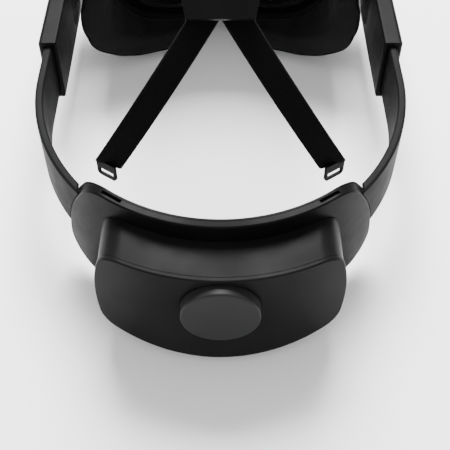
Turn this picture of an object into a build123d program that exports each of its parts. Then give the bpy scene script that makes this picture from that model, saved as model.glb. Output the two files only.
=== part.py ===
from build123d import *
from math import asin, cos, degrees, hypot, pi, radians, sin, sqrt
import os

# Head-worn virtual reality display with a hard rear cradle, a battery pod and an over-head strap.
# Frame: +Z up, -Y is where the wearer looks, +X is the wearer's left. The origin is at the centre
# of the footprint, on the surface that the headset stands on. All sizes are in millimetres.

# ---------------------------------------------------------------- driving dimensions
HALF_LENGTH = 148.6          # half of the overall length, front cover to dial face
HALO_A = 92.0                # half width of the halo's outer face
HALO_B = 106.5               # rear reach of the halo's outer face from its centre
HALO_Y = 16.7                # where the halo's centre lies
CRADLE_TOP = 70.0            # top edge of the rear cradle
CRADLE_THICK = 5.0           # both cradle shells together
SHELL = 1.5                  # wall of a cradle shell
RIM = 2.2                    # solid rim round the cradle's cavity
EDGE_R = 0.7                 # rounding of the cradle's and the pod cover's edges
BAND_LOW, BAND_HIGH = 28.0, 59.0
BAND_OUT, BAND_IN = 0.5, 4.5  # the side band's faces, measured in from the halo's outer face
BAND_END = -48.0             # front end of the side band, inside the temple arm
TONGUE_OUT, TONGUE_IN = 1.7, 3.3

POD_R = 95.3                 # radius of the pod's rear face
POD_BACK = HALO_Y + 127.5    # rearmost line of the pod's rear face
POD_TOP, POD_LOW = 61.7, 3.8
POD_WALL = 2.0
POD_STEP = 0.6               # the pod's body is this much smaller than its rear cover
COVER_THICK = 2.6
PORT_X, PORT_Y, PORT_Z = 22.0, 124.0, 7.0

DIAL_Z = 42.0                # height of the dial's axis
DIAL_R = 16.8
DIAL_FACE = HALF_LENGTH      # the dial's outer face
WELL_DEPTH = 1.6
WELL_R = DIAL_R + 0.9
SHAFT_R = 3.0

MODULE = 1.0                 # fit gear
TEETH = 12
PRESSURE = 25.0
PITCH_R = MODULE * TEETH / 2
ADDENDUM, DEDENDUM = 0.9, 1.2
BACKLASH = 0.16
RACK_R = 77.0                # radius of the rack's middle line, seen from above
RACK_THICK = 1.2
RACK_BACK = 3.8              # solid height behind the rack's teeth

RACK_START, RACK_END = -26.0, 11.0   # ends of the upper rack along X at rest
TAPE_THICK, TAPE_HIGH = 0.3, 4.0     # thin tape between a rack and its temple arm
SCREW_X, SCREW_HIGH, SCREW_LOW = 34.0, 57.5, 14.0

SLOT_X, SLOT_LONG, SLOT_WIDE = 45.8, 10.4, 1.5
SLOT_DEEP = 11.0
TAB_WIDE, TAB_THICK, TAB_TALL = 9.6, 1.1, 8.2
TAB_RIM, TAB_SLIT = 1.2, 2.9   # frame round the tab's slit, and the slit's height
TAB_GAP = 12.0               # height of the loose tab above the cradle
LEG_WIDE, LEG_THICK = 10.6, 2.0
LEG_CUT_Z = CRADLE_TOP + TAB_GAP + 7.2   # the legs are cut off here, above the tabs
LEG_CUT_TILT = 14.0          # slope of the cut, outer corner up, in degrees
CROWN_WIDE = 24.0
CROWN_Z = 183.5              # middle of the crown strap while it is lifted
CROWN_STEP = 19.4            # the front strap lies this far below the lifted crown strap
CROWN_END, FRONT_STRAP_END = -38.0, -2.0

ARM_OUT, ARM_IN = HALO_A + 2.6, 84.9
ARM_REAR = -8.0
ARM_LOW, ARM_HIGH = 25.5, 61.5
PIVOT_Y, PIVOT_Z, PIVOT_R = -104.0, 43.5, 5.0
BAND_FIT = 0.3               # clearance of the band in the arm's pocket
POCKET_END = -58.0

VISOR_HALF, VISOR_HIGH, VISOR_CORNER = 84.0, 92.0, 36.0
VISOR_BACK = -92.0
VISOR_R = 210.0              # radius of the front cover, seen from above
VISOR_WALL = 2.4
COVER_GLASS = 2.6
EYE_X, EYE_Z = 31.75, 46.0
BARREL_R, BARREL_BORE = 24.0, 21.6
IPD_TRAVEL = 3.5
RAIL_R, RAIL_Y, RAIL_Z = 1.5, -111.5, 27.5
RAIL_FIT = 0.06
CHASSIS_Y, CHASSIS_THICK = -121.6, 1.8
POWER_X, VOLUME_X, KNOB_X = 38.0, -34.0, 41.0
BUTTON_Y, BUTTON_DEEP = -115.0, 4.0
FACE_R = 105.0               # radius of the face side of the foam gasket

BIG = 400.0                  # longer than any part


# ---------------------------------------------------------------- helpers
def along_y(face, y0, y1):
    """A face drawn in X and Z, extruded from y0 to y1."""
    return extrude(Plane.XZ.offset(-y0) * face, amount=y0 - y1)


def along_x(face, x0, x1):
    """A face drawn in Y and Z, extruded from x0 to x1."""
    return extrude(Plane.YZ.offset(x0) * face, amount=x1 - x0)


def block(x0, x1, y0, y1, z0, z1):
    return Pos((x0 + x1) / 2, (y0 + y1) / 2, (z0 + z1) / 2) * Box(x1 - x0, y1 - y0, z1 - z0)


def rod_y(x, z, r, y0, y1):
    return along_y(Pos(x, z) * Circle(r), y0, y1)


def rod_x(y, z, r, x0, x1):
    return along_x(Pos(y, z) * Circle(r), x0, x1)


def rounded(edges, corners):
    """A face inside edges, with each (x, y, radius) corner rounded."""
    face = make_face(edges)
    for x, y, r in corners:
        nearest = face.vertices().sort_by_distance((x, y, 0))[0]
        face = fillet(nearest, r)
    return face


def mirrored(shape):
    return mirror(shape, Plane.YZ)


def halo_plan(offset, y_front):
    """The halo seen from above: half an ellipse at the back and straight sides in front."""
    a, b = HALO_A - offset, HALO_B - offset
    rear = (Pos(0, HALO_Y) * Ellipse(a, b)) & (Pos(0, HALO_Y + BIG / 2) * Rectangle(BIG, BIG))
    if y_front >= HALO_Y:
        return rear
    return rear + Pos(0, (HALO_Y + y_front) / 2) * Rectangle(2 * a, HALO_Y - y_front)


def halo_wall(out, inner, z0, z1, y_front=HALO_Y):
    """The wall between two offsets of the halo's outer face."""
    ring = halo_plan(out, y_front) - halo_plan(inner, y_front - 1)
    return extrude(Pos(0, 0, z0) * ring, amount=z1 - z0)


def halo_depth(x, offset):
    """Y of the halo's rear face at x, for one offset."""
    a, b = HALO_A - offset, HALO_B - offset
    return HALO_Y + b * sqrt(1 - (x / a) ** 2)


def halo_angle(x, offset):
    """Turn about Z of the halo's tangent at x, in degrees."""
    a, b = HALO_A - offset, HALO_B - offset
    t = asin(x / a)
    return degrees(-asin(b * sin(t) / sqrt((b * sin(t)) ** 2 + (a * cos(t)) ** 2)))


def cradle_outline(inset=0.0):
    """The cradle seen from behind."""
    side = ThreePointArc((55.5, CRADLE_TOP), (67.6, 44), (71.5, 10.5))
    low = Line((71.5, 10.5), (27, 0))
    edges = [Line((-55.5, CRADLE_TOP), (55.5, CRADLE_TOP)), side, low, Line((27, 0), (-27, 0)),
             Line((-27, 0), (-71.5, 10.5)), ThreePointArc((-71.5, 10.5), (-67.6, 44), (-55.5, CRADLE_TOP))]
    face = rounded(edges, [(s * x, z, r) for s in (1, -1)
                           for x, z, r in ((55.5, CRADLE_TOP, 13), (71.5, 10.5, 13), (27, 0, 60))])
    return offset(face, -inset) if inset else face


def pod_outline(inset=0.0):
    """The pod seen from behind."""
    top, low, heel_z = POD_TOP - inset, POD_LOW + inset, 11.5 + inset
    shoulder, belly, heel = 49 - inset, 54.9 - inset, 53.2 - inset
    edges = [Line((-shoulder, top), (shoulder, top)),
             ThreePointArc((shoulder, top), (belly, 33), (heel, heel_z)),
             ThreePointArc((heel, heel_z), (0, low), (-heel, heel_z)),
             ThreePointArc((-heel, heel_z), (-belly, 33), (-shoulder, top))]
    corners = ((shoulder, top, 11 - inset), (heel, heel_z, 9 - inset))
    return rounded(edges, [(side * x, z, r) for side in (1, -1) for x, z, r in corners])


def pod_body(back, r_change=0.0):
    """Everything inside a vertical cylinder that ends at y = back."""
    return Pos(0, back - (POD_R + r_change), 0) * Cylinder(POD_R + r_change, BIG)


PARTS = {}


def part(name, *shapes):
    """Keeps the solids of one node."""
    PARTS[name] = [solid for shape in shapes for solid in shape.solids()]


def half_space(side, x=0.0):
    """A block over everything beyond x on one side of the middle."""
    return block(min(side * x, side * 150), max(side * x, side * 150), -150, 150, -10, 200)


# ---------------------------------------------------------------- rear cradle
def tab_slot(side, wide, thick, z0, z1):
    """A block that lies along the halo at a strap slot."""
    x = SLOT_X
    y = halo_depth(x, CRADLE_THICK / 2)
    turn = halo_angle(x, CRADLE_THICK / 2)
    one = Pos(x, y, (z0 + z1) / 2) * Rot(0, 0, turn) * Box(wide, thick, z1 - z0)
    return one if side > 0 else mirrored(one)


def tape_height(side):
    """Height of the middle of a drive tape: the left one above the pinion, the right one below."""
    return DIAL_Z + side * (PITCH_R + DEDENDUM + RACK_BACK / 2)


def cradle_screw_places():
    return [(side * SCREW_X, z) for side in (1, -1) for z in (SCREW_HIGH, SCREW_LOW)]


def shell_ring(out, inner, edge_r):
    """A cradle shell between two offsets of the halo, its edges on the outer offset rounded."""
    ring = Ellipse(HALO_A - out, HALO_B - out) - Ellipse(HALO_A - inner, HALO_B - inner)
    shell = extrude(Pos(0, HALO_Y) * ring, amount=CRADLE_TOP) & along_y(cradle_outline(), HALO_Y + 10, 140)
    outer = [e for e in shell.edges() if on_offset(e, out if edge_r > 0 else inner)]
    return fillet(outer, abs(edge_r))


def on_offset(edge, out):
    """Whether an edge runs along the outline on one offset of the halo."""
    if abs(edge.length - CRADLE_TOP) < 0.01:
        return False
    points = [edge @ t for t in (0.0, 0.5, 1.0)]
    a, b = HALO_A - out, HALO_B - out
    return all(abs(hypot(p.X / a, (p.Y - HALO_Y) / b) - 1) < 0.0005 for p in points)


def cradle_outer_shell():
    seam = CRADLE_THICK - SHELL
    shell = shell_ring(0, seam - 0.05, EDGE_R)
    cavity = halo_wall(SHELL, seam + 1, 0, CRADLE_TOP) & along_y(cradle_outline(RIM), HALO_Y, 140)
    for x, z in cradle_screw_places():
        cavity -= rod_y(x, z, 3.4, 90, 140)
    shell -= cavity
    tongue_room = halo_wall(TONGUE_OUT - 0.15, seam + 1, BAND_LOW + 1.3, BAND_HIGH - 1.3)
    for side in (1, -1):
        shell -= tongue_room & half_space(side, 50)
        shell -= tab_slot(side, SLOT_LONG, SLOT_WIDE, CRADLE_TOP - SLOT_DEEP, CRADLE_TOP + 1)
    for x, z in cradle_screw_places():
        shell -= rod_y(x, z, 1.3, 90, 140)
        shell -= rod_y(x, z, 1.8, 60, halo_depth(x, CRADLE_THICK) + 3.75)
    return shell - rod_y(0, DIAL_Z, 4.2, 100, 140)


def cradle_parts():
    seam = CRADLE_THICK - SHELL
    part("cradle_outer_shell", cradle_outer_shell())
    inner = shell_ring(seam + 0.05, CRADLE_THICK, -EDGE_R)
    part("cradle_inner_shell", inner - rod_y(0, DIAL_Z, 2.6, 100, 140))

    pad_face = Pos(0, 34) * RectangleRounded(112, 46, 22)
    pad = halo_wall(CRADLE_THICK + 0.3, CRADLE_THICK + 9.5, 0, CRADLE_TOP)
    part("occipital_pad", pad & along_y(pad_face, HALO_Y, 140))

    guides = []
    for side in (1, -1):
        guide = tab_slot(side, SLOT_LONG + 3, 1.7, CRADLE_TOP - SLOT_DEEP - 3.5, CRADLE_TOP - RIM - 0.6)
        guide -= tab_slot(side, SLOT_LONG, SLOT_WIDE, CRADLE_TOP - SLOT_DEEP, CRADLE_TOP + 1)
        guide &= halo_wall(SHELL + 0.1, seam - 0.1, 0, CRADLE_TOP)
        guides.append(guide & along_y(cradle_outline(RIM + 0.1), HALO_Y, 140))
    part("tab_guides", *guides)

    screws = []
    for x, z in cradle_screw_places():
        y = halo_depth(x, CRADLE_THICK)
        screws.append(rod_y(x, z, 1.15, y + 3.7, y + 11.5) + rod_y(x, z, 1.6, y + 2.7, y + 3.7))
    part("cradle_screws", *screws)


def band_parts():
    """Side bands, each with a thin tongue between the cradle's shells and a channel for its tape."""
    grown = along_y(cradle_outline(-0.25), HALO_Y, 140)
    strip = halo_wall(BAND_OUT, BAND_IN, BAND_LOW, BAND_HIGH, BAND_END) - grown
    edges = strip.edges()
    long_edges = [e for e in edges if any(abs(e.center().Z - z) < 0.01 for z in (BAND_LOW, BAND_HIGH))]
    strip = fillet(long_edges, 1.2)
    tongue = halo_wall(TONGUE_OUT, TONGUE_IN, BAND_LOW + 1.5, BAND_HIGH - 1.5) & grown
    for side, name in ((1, "left"), (-1, "right")):
        z = tape_height(side)
        band = (strip & half_space(side)) + (tongue & half_space(side, 52))
        band -= halo_wall(CRADLE_THICK / 2 - 0.3, CRADLE_THICK / 2 + 0.3, z - 2.3, z + 2.3, BAND_END - 2)
        part("side_band_" + name, band)


# ---------------------------------------------------------------- battery pod
def pod_housing():
    halo_inside = extrude(halo_plan(-0.1, HALO_Y), amount=BIG / 4)
    cover_face = POD_BACK - COVER_THICK
    block_of_pod = along_y(pod_outline(POD_STEP), 60, 150) & pod_body(cover_face - 0.1)
    hollow = along_y(pod_outline(POD_STEP + POD_WALL), 60, 150) & pod_body(cover_face + 1)
    hollow -= extrude(halo_plan(-0.1 - POD_WALL, HALO_Y), amount=BIG / 4)
    for x, z in cradle_screw_places():
        hollow -= rod_y(x, z, 3.0, 90, halo_depth(x, 0) + 9)
    housing = block_of_pod - hollow - halo_inside
    for x, z in cradle_screw_places():
        housing -= rod_y(x, z, 1.3, 90, 134)
    housing -= rod_y(0, DIAL_Z, 4.2, 90, 130)
    port = extrude(Pos(PORT_X, PORT_Y, -2) * RectangleRounded(9.2, 3.4, 1.6), amount=PORT_Z + 10)
    return housing - port


def dial_bush():
    well = POD_BACK - WELL_DEPTH
    flange = rod_y(0, DIAL_Z, 7.5, 133.3, 134.5)
    collar = rod_y(0, DIAL_Z, 5.0, 134.5, well - 0.1)
    return flange + collar - rod_y(0, DIAL_Z, SHAFT_R + 0.05, 100, 160)


def pod_parts():
    cover_face = POD_BACK - COVER_THICK
    part("pod_housing", pod_housing())
    cover = along_y(pod_outline(), 60, 160) & (pod_body(POD_BACK) - pod_body(cover_face))
    cover &= block(-70, 70, 90, 160, 0, 80)
    cover = fillet(cover.edges(), EDGE_R)
    cover -= rod_y(0, DIAL_Z, WELL_R, POD_BACK - WELL_DEPTH, 160)
    cover -= rod_y(0, DIAL_Z, 5.1, 130, 160)
    part("pod_back_cover", cover)

    cells = along_y(Pos(0, 35.5) * RectangleRounded(90, 33, 4), 60, 150) & pod_body(cover_face - 1.2)
    cells -= extrude(halo_plan(-0.9 - POD_WALL, HALO_Y), amount=BIG / 4)
    part("battery_cells", *[cells & half_space(side, 12.5) for side in (1, -1)])

    board = block(-11, 11, 129, 130.2, 9, 26)
    part("battery_board", board + block(-6, 0, 130.2, 131.4, 13, 19) + block(3, 8, 130.2, 131.2, 11, 16))
    socket = Pos(PORT_X, PORT_Y, PORT_Z) * extrude(RectangleRounded(9.0, 3.2, 1.5), amount=7.0)
    socket -= Pos(PORT_X, PORT_Y, PORT_Z) * extrude(RectangleRounded(8.4, 2.6, 1.25), amount=6.2)
    tongue = block(PORT_X - 3.2, PORT_X + 3.2, PORT_Y - 0.3, PORT_Y + 0.3, PORT_Z + 1, PORT_Z + 6.3)
    part("charge_port", socket + tongue)
    part("dial_bush", dial_bush())

    spring = block(-9.5, 9.5, 128.2, 131.0, DIAL_Z + 9.0, DIAL_Z + 9.6)
    spring += rod_y(0, DIAL_Z + 9.3, 1.1, 128.2, 131.0)
    spring += block(-9.5, -8.5, 125.5, 131.0, DIAL_Z + 9.0, DIAL_Z + 11)
    part("detent_spring", spring)


# ---------------------------------------------------------------- dial and fit gear
def tooth_width(r):
    """Half the angle of a pinion tooth at radius r, for an involute tooth."""
    base = PITCH_R * cos(radians(PRESSURE))
    inv = lambda a: sin(a) / cos(a) - a
    half = pi / (2 * TEETH) - BACKLASH / (4 * PITCH_R)
    if r <= base:
        return half + inv(radians(PRESSURE))
    angle = asin(sqrt(1 - (base / r) ** 2))
    return half + inv(radians(PRESSURE)) - inv(angle)


def pinion_face():
    base = PITCH_R * cos(radians(PRESSURE))
    root, tip = PITCH_R - DEDENDUM, PITCH_R + ADDENDUM
    steps = [root] + [base + (tip - base) * k / 6 for k in range(7)]
    points = []
    for tooth in range(TEETH):
        middle = pi / 2 + pi / TEETH + tooth * 2 * pi / TEETH
        right = [(r * cos(middle - tooth_width(r)), r * sin(middle - tooth_width(r))) for r in steps]
        left = [(r * cos(middle + tooth_width(r)), r * sin(middle + tooth_width(r))) for r in reversed(steps)]
        points += right + left
    return make_face(Polyline(*points, close=True))


def rack_tooth():
    """One rack tooth, pointing down, with the pitch line at y = 0."""
    slope = sin(radians(PRESSURE)) / cos(radians(PRESSURE))
    half = pi * MODULE / 4 - BACKLASH / 4
    root, tip = half + DEDENDUM * slope, half - ADDENDUM * slope
    return make_face(Polyline((-root, DEDENDUM + 0.2), (-root, DEDENDUM), (-tip, -ADDENDUM), (tip, -ADDENDUM),
                              (root, DEDENDUM), (root, DEDENDUM + 0.2), close=True))


def rack():
    """The upper rack: curved round a vertical line, with its teeth spaced along the curve."""
    ring_y = halo_depth(0, CRADLE_THICK / 2) - RACK_R
    centre = Pos(0, ring_y, 0)
    ring = centre * (Cylinder(RACK_R + RACK_THICK / 2, BIG) - Cylinder(RACK_R - RACK_THICK / 2, BIG))
    middle = (RACK_START + RACK_END) / 2
    back = Pos(middle, DIAL_Z + PITCH_R + DEDENDUM + RACK_BACK / 2) * Rectangle(RACK_END - RACK_START, RACK_BACK)
    body = along_y(back, 60, 140) & ring
    tooth = along_y(Pos(0, DIAL_Z + PITCH_R) * rack_tooth(), 60, 140) & ring
    pitch = pi * MODULE
    for n in range(round(RACK_START / pitch + 1), round(RACK_END / pitch)):
        body += centre * Rot(0, 0, -degrees(n * pitch / RACK_R)) * centre.inverse() * tooth
    return body


def rack_parts():
    """Two curved racks, one above and one below the pinion, moving opposite ways."""
    upper = rack()
    part("rack_left", upper)
    part("rack_right", Pos(0, 0, 2 * DIAL_Z) * Rot(0, 180, 0) * upper)
    for side, name in ((1, "left"), (-1, "right")):
        z = tape_height(side)
        middle = CRADLE_THICK / 2
        tape = halo_wall(middle - TAPE_THICK / 2, middle + TAPE_THICK / 2, z - TAPE_HIGH / 2, z + TAPE_HIGH / 2,
                         POCKET_END + 0.5)
        part("drive_tape_" + name, tape & half_space(side, RACK_END + 0.1))


def dial_parts():
    well = POD_BACK - WELL_DEPTH
    knob = rod_y(0, DIAL_Z, DIAL_R, well + 0.5, DIAL_FACE)
    knob = fillet(knob.edges().filter_by(GeomType.CIRCLE).sort_by(Axis.Y)[-1], 0.9)
    part("dial_knob", knob - rod_y(0, DIAL_Z, SHAFT_R + 0.02, 100, DIAL_FACE - 2))

    middle = halo_depth(0, CRADLE_THICK / 2)
    neck_r, step = 2.5, middle + RACK_THICK / 2 + 0.6
    shaft = rod_y(0, DIAL_Z, SHAFT_R, step, DIAL_FACE - 2.05)
    shaft += rod_y(0, DIAL_Z, neck_r, halo_depth(0, CRADLE_THICK) + 0.3, step)
    shaft -= rod_y(0, DIAL_Z, 4, 127.2, 127.9) - rod_y(0, DIAL_Z, neck_r, 100, 160)
    part("dial_shaft", shaft)
    gear = along_y(Pos(0, DIAL_Z) * pinion_face(), middle - RACK_THICK / 2, middle + RACK_THICK / 2)
    part("pinion", gear - rod_y(0, DIAL_Z, neck_r + 0.02, 90, 130))

    notches, star_r = 24, 8.6
    star = Circle(star_r) - Circle(SHAFT_R + 0.02)
    for k in range(notches):
        angle = pi / 2 + 2 * pi * k / notches
        star -= Pos((star_r + 0.4) * cos(angle), (star_r + 0.4) * sin(angle)) * Circle(0.95)
    part("detent_wheel", along_y(Pos(0, DIAL_Z) * star, 128.6, 130.6))
    clip = rod_y(0, DIAL_Z, 4.6, 127.3, 127.8) - rod_y(0, DIAL_Z, neck_r + 0.02, 100, 160)
    part("dial_clip", clip - block(-1.7, 1.7, 120, 140, DIAL_Z - 8, DIAL_Z))


# ---------------------------------------------------------------- over-head strap
def strap_leg():
    """The left leg: a flat strip along an arc over the back of the head."""
    low = (SLOT_X, halo_depth(SLOT_X, CRADLE_THICK / 2), CRADLE_TOP + TAB_GAP + 5.4)
    middle = (23.3, HALO_Y + 77.4, CRADLE_TOP + 48.4)
    high = (4.5, HALO_Y + 57.5, CRADLE_TOP + 69.5)
    path = ThreePointArc(low, middle, high)
    across = (path @ 0.5 - path @ 0).cross(path @ 1 - path @ 0).normalized()
    section = Plane(origin=path @ 0, x_dir=across, z_dir=path % 0) * Rectangle(LEG_WIDE, LEG_THICK)
    leg = sweep(section, path=path) + extrude(section, amount=-LEG_WIDE)
    return leg - Pos(SLOT_X, 0, LEG_CUT_Z) * Rot(0, -LEG_CUT_TILT, 0) * block(-20, 20, 50, 150, -30, 0)


def strap_tab():
    """The left end piece: a small loop that plugs into the cradle's slot."""
    low = CRADLE_TOP + TAB_GAP
    tab = tab_slot(1, TAB_WIDE, TAB_THICK, low, low + TAB_TALL)
    corners = tab.edges().filter_by(lambda e: abs(e.length - TAB_THICK) < 0.01).sort_by(Axis.Z)[:2]
    tab = fillet(corners, 1.8)
    return tab - tab_slot(1, TAB_WIDE - 2 * TAB_RIM, TAB_THICK + 2, low + TAB_RIM, low + TAB_RIM + TAB_SLIT)


def strap_parts():
    tab = strap_tab()
    leg = (strap_leg() - tab) & half_space(1, 0.2)
    part("strap_leg_left", leg)
    part("strap_leg_right", mirrored(leg))
    part("strap_tab_left", tab)
    part("strap_tab_right", mirrored(tab))

    slope = radians(35)
    end_y, end_z = HALO_Y + 56.0, CRADLE_TOP + 74.0
    corner_y = end_y - (CROWN_Z - end_z) * cos(slope) / sin(slope)
    line = Plane.YZ * FilletPolyline((CROWN_END, CROWN_Z), (corner_y, CROWN_Z), (end_y, end_z), radius=70)
    section = Plane(origin=line @ 0, x_dir=(1, 0, 0), z_dir=line % 0) * Rectangle(CROWN_WIDE, LEG_THICK)
    part("crown_strap", sweep(section, path=line))
    joint = Plane(origin=(0, end_y + 1.0, end_z + 1.2), x_dir=(1, 0, 0), z_dir=(0, sin(slope), cos(slope)))
    outline = Polyline((-13, 9), (13, 9), (15.5, -3), (12, -12), (-12, -12), (-15.5, -3), close=True)
    part("yoke_plate", extrude(joint * make_face(outline), amount=1.8))


# ---------------------------------------------------------------- temple arms
def arm_face(grow=0.0):
    """The temple arm seen from the side, with a round front end at the pivot."""
    half = (ARM_HIGH - ARM_LOW) / 2 + grow
    mid_z = (ARM_HIGH + ARM_LOW) / 2
    straight = Pos((ARM_REAR + PIVOT_Y) / 2, mid_z) * Rectangle(ARM_REAR - PIVOT_Y + 2 * grow, 2 * half)
    return straight + Pos(PIVOT_Y, mid_z) * Circle(half)


SPEAKER_Y, SPEAKER_R = -75.5, 10.0


def temple_arm():
    body = along_x(arm_face(), ARM_IN, ARM_OUT)
    body = fillet([e for e in body.edges() if abs(e.center().X - ARM_OUT) < 0.01], 2.2)
    body = fillet([e for e in body.edges() if abs(e.center().X - ARM_IN) < 0.01], 1.0)
    body -= block(HALO_A - BAND_IN - BAND_FIT, HALO_A - BAND_OUT + BAND_FIT, POCKET_END, ARM_REAR + 1,
                  BAND_LOW - BAND_FIT, BAND_HIGH + BAND_FIT)
    body -= along_x(Pos(SPEAKER_Y, PIVOT_Z) * RectangleRounded(30, 27, 9), ARM_IN - 1, ARM_IN + 1.4)
    body -= rod_x(SPEAKER_Y, PIVOT_Z, SPEAKER_R + 0.5, ARM_IN, ARM_IN + 6.6)
    return body - rod_x(PIVOT_Y, PIVOT_Z, PIVOT_R, ARM_IN - 1, ARM_OUT - 2.4)


def temple_cover():
    cover = along_x(Pos(SPEAKER_Y, PIVOT_Z) * RectangleRounded(29.6, 26.6, 8.8), ARM_IN + 0.1, ARM_IN + 1.3)
    reach, pitch = 3, 2.4
    for row in range(-reach, reach + 1):
        for column in range(-reach, reach + 1):
            if hypot(row, column) < reach + 0.3:
                cover -= rod_x(SPEAKER_Y + pitch * column, PIVOT_Z + pitch * row, 0.55, ARM_IN - 1, ARM_IN + 2)
    return cover


def speaker():
    body = rod_x(SPEAKER_Y, PIVOT_Z, SPEAKER_R, ARM_IN + 2.4, ARM_IN + 6.2)
    body -= rod_x(SPEAKER_Y, PIVOT_Z, SPEAKER_R - 2, ARM_IN + 2.3, ARM_IN + 3.0)
    return body + rod_x(SPEAKER_Y, PIVOT_Z, 3.2, ARM_IN + 2.6, ARM_IN + 3.4)


def hinge_pin():
    wall = VISOR_HALF - VISOR_WALL
    return (rod_x(PIVOT_Y, PIVOT_Z, PIVOT_R - 0.05, wall, ARM_OUT - 2.6)
            + rod_x(PIVOT_Y, PIVOT_Z, PIVOT_R + 2, wall - 2, wall))


def arm_parts():
    for name, shape in (("temple_arm", temple_arm()), ("temple_cover", temple_cover()), ("speaker", speaker())):
        part(name + "_left", shape)
        part(name + "_right", mirrored(shape))
    part("hinge_pins", hinge_pin(), mirrored(hinge_pin()))


# ---------------------------------------------------------------- visor
CAMERAS = [(side * 60, z) for side in (1, -1) for z in (72, 26)]
VISOR_SCREWS = [(side * 70, z) for side in (1, -1) for z in (24, 68)]
FAN_Z, FAN_R = 64.0, 13.0


def visor_outline(inset=0.0):
    """The visor seen from the front, with the notch for the nose."""
    face = Pos(0, VISOR_HIGH / 2) * RectangleRounded(2 * (VISOR_HALF - inset), VISOR_HIGH - 2 * inset,
                                                     VISOR_CORNER - inset)
    return face - Pos(0, -6) * Ellipse(24 + inset, 1.15 * (24 + inset))


def inside_front(r):
    """Everything behind the curved front, for one radius of it."""
    return Pos(0, VISOR_R - HALF_LENGTH, 0) * Cylinder(r, BIG)


def front_y(x):
    return VISOR_R - HALF_LENGTH - sqrt(VISOR_R ** 2 - x * x)


def visor_envelope():
    envelope = along_y(visor_outline(), -HALF_LENGTH - 5, VISOR_BACK) & inside_front(VISOR_R)
    return fillet([e for e in envelope.edges() if e.center().Y < -115], 6.0)


def visor_housing(envelope):
    body = envelope & inside_front(VISOR_R - COVER_GLASS - 0.15)
    body -= along_y(visor_outline(VISOR_WALL), -BIG / 2, 0)
    for side in (1, -1):
        body -= rod_x(PIVOT_Y, PIVOT_Z, PIVOT_R, side * (VISOR_HALF - 5), side * (VISOR_HALF + 5))
    for x, half in ((POWER_X, 6.2), (VOLUME_X, 11.4)):
        body -= block(x - half, x + half, BUTTON_Y - BUTTON_DEEP / 2 - 0.2, BUTTON_Y + BUTTON_DEEP / 2 + 0.2,
                      VISOR_HIGH - 12, VISOR_HIGH + 3)
    body -= block(KNOB_X - IPD_TRAVEL - 3.3, KNOB_X + IPD_TRAVEL + 3.3, -112.4, -107.6, -1, 3)
    for k in range(-5, 6):
        body -= block(k * 5 - 1.2, k * 5 + 1.2, -126, -120, 85, 95)
    for x, z in VISOR_SCREWS:
        side = 1 if x > 0 else -1
        inner, outer = x - side * 4, side * 81
        rib = block(min(inner, outer), max(inner, outer), -127, CHASSIS_Y - 0.1, z - 3.2, z + 3.2)
        body += (rib & along_y(visor_outline(1.0), -BIG / 2, 0)) - rod_y(x, z, 1.05, -126, -110)
    return body


def front_parts():
    envelope = visor_envelope()
    cover = envelope - inside_front(VISOR_R - COVER_GLASS)
    for x, z in CAMERAS:
        cover -= rod_y(x, z, 5.2, -BIG / 2, -100)
    part("front_cover", cover)
    part("visor_housing", visor_housing(envelope))

    panel = along_y(visor_outline(VISOR_WALL + 0.15), VISOR_BACK - 2.4, VISOR_BACK - 0.1)
    for side in (1, -1):
        opening = SlotCenterToCenter(2 * IPD_TRAVEL + 0.8, 2 * (BARREL_R + 0.5))
        panel -= along_y(Pos(side * EYE_X, EYE_Z) * opening, VISOR_BACK - 5, 0)
    part("lens_panel", panel)

    cameras = []
    for x, z in CAMERAS:
        y = front_y(x)
        cameras.append(rod_y(x, z, 5.0, y + 0.6, y + 12) - rod_y(x, z, 3.6, y - 2, y + 2.2)
                       + rod_y(x, z, 3.4, y + 2.2, y + 3.0))
    part("tracking_cameras", *cameras)


def rail_spans():
    """Start, end and height of each lens rail: one long one on top and two short ones beside the nose."""
    top, low = EYE_Z + RAIL_Z, EYE_Z - RAIL_Z
    return [(-71, 71, top), (19, 71, low), (-71, -19, low)]


def chassis_parts():
    back = CHASSIS_Y + CHASSIS_THICK
    frame = along_y(visor_outline(VISOR_WALL + 0.5), CHASSIS_Y, back)
    for side in (1, -1):
        frame -= along_y(Pos(side * EYE_X, EYE_Z) * RectangleRounded(40, 40, 6), -130, 0)
        frame -= along_y(Pos(side * 64, EYE_Z) * RectangleRounded(9, 34, 4), -130, 0)
    for start, end, z in rail_spans():
        for x in (start + 1.2, end - 1.2):
            frame += block(x - 1.8, x + 1.8, back, RAIL_Y + 3, z - 2.4, z + 3)
        frame -= rod_x(RAIL_Y, z, RAIL_R + 0.02, start - 0.1, end + 0.1)
    for x, z in VISOR_SCREWS:
        frame -= rod_y(x, z, 1.1, -130, -110)
    part("chassis_frame", frame)
    part("ipd_rails", *[rod_x(RAIL_Y, z, RAIL_R, start, end) for start, end, z in rail_spans()])
    part("visor_screws", *[rod_y(x, z, 1.0, -125.6, back + 0.05) + rod_y(x, z, 1.9, back + 0.05, back + 1.5)
                           for x, z in VISOR_SCREWS])


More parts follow.
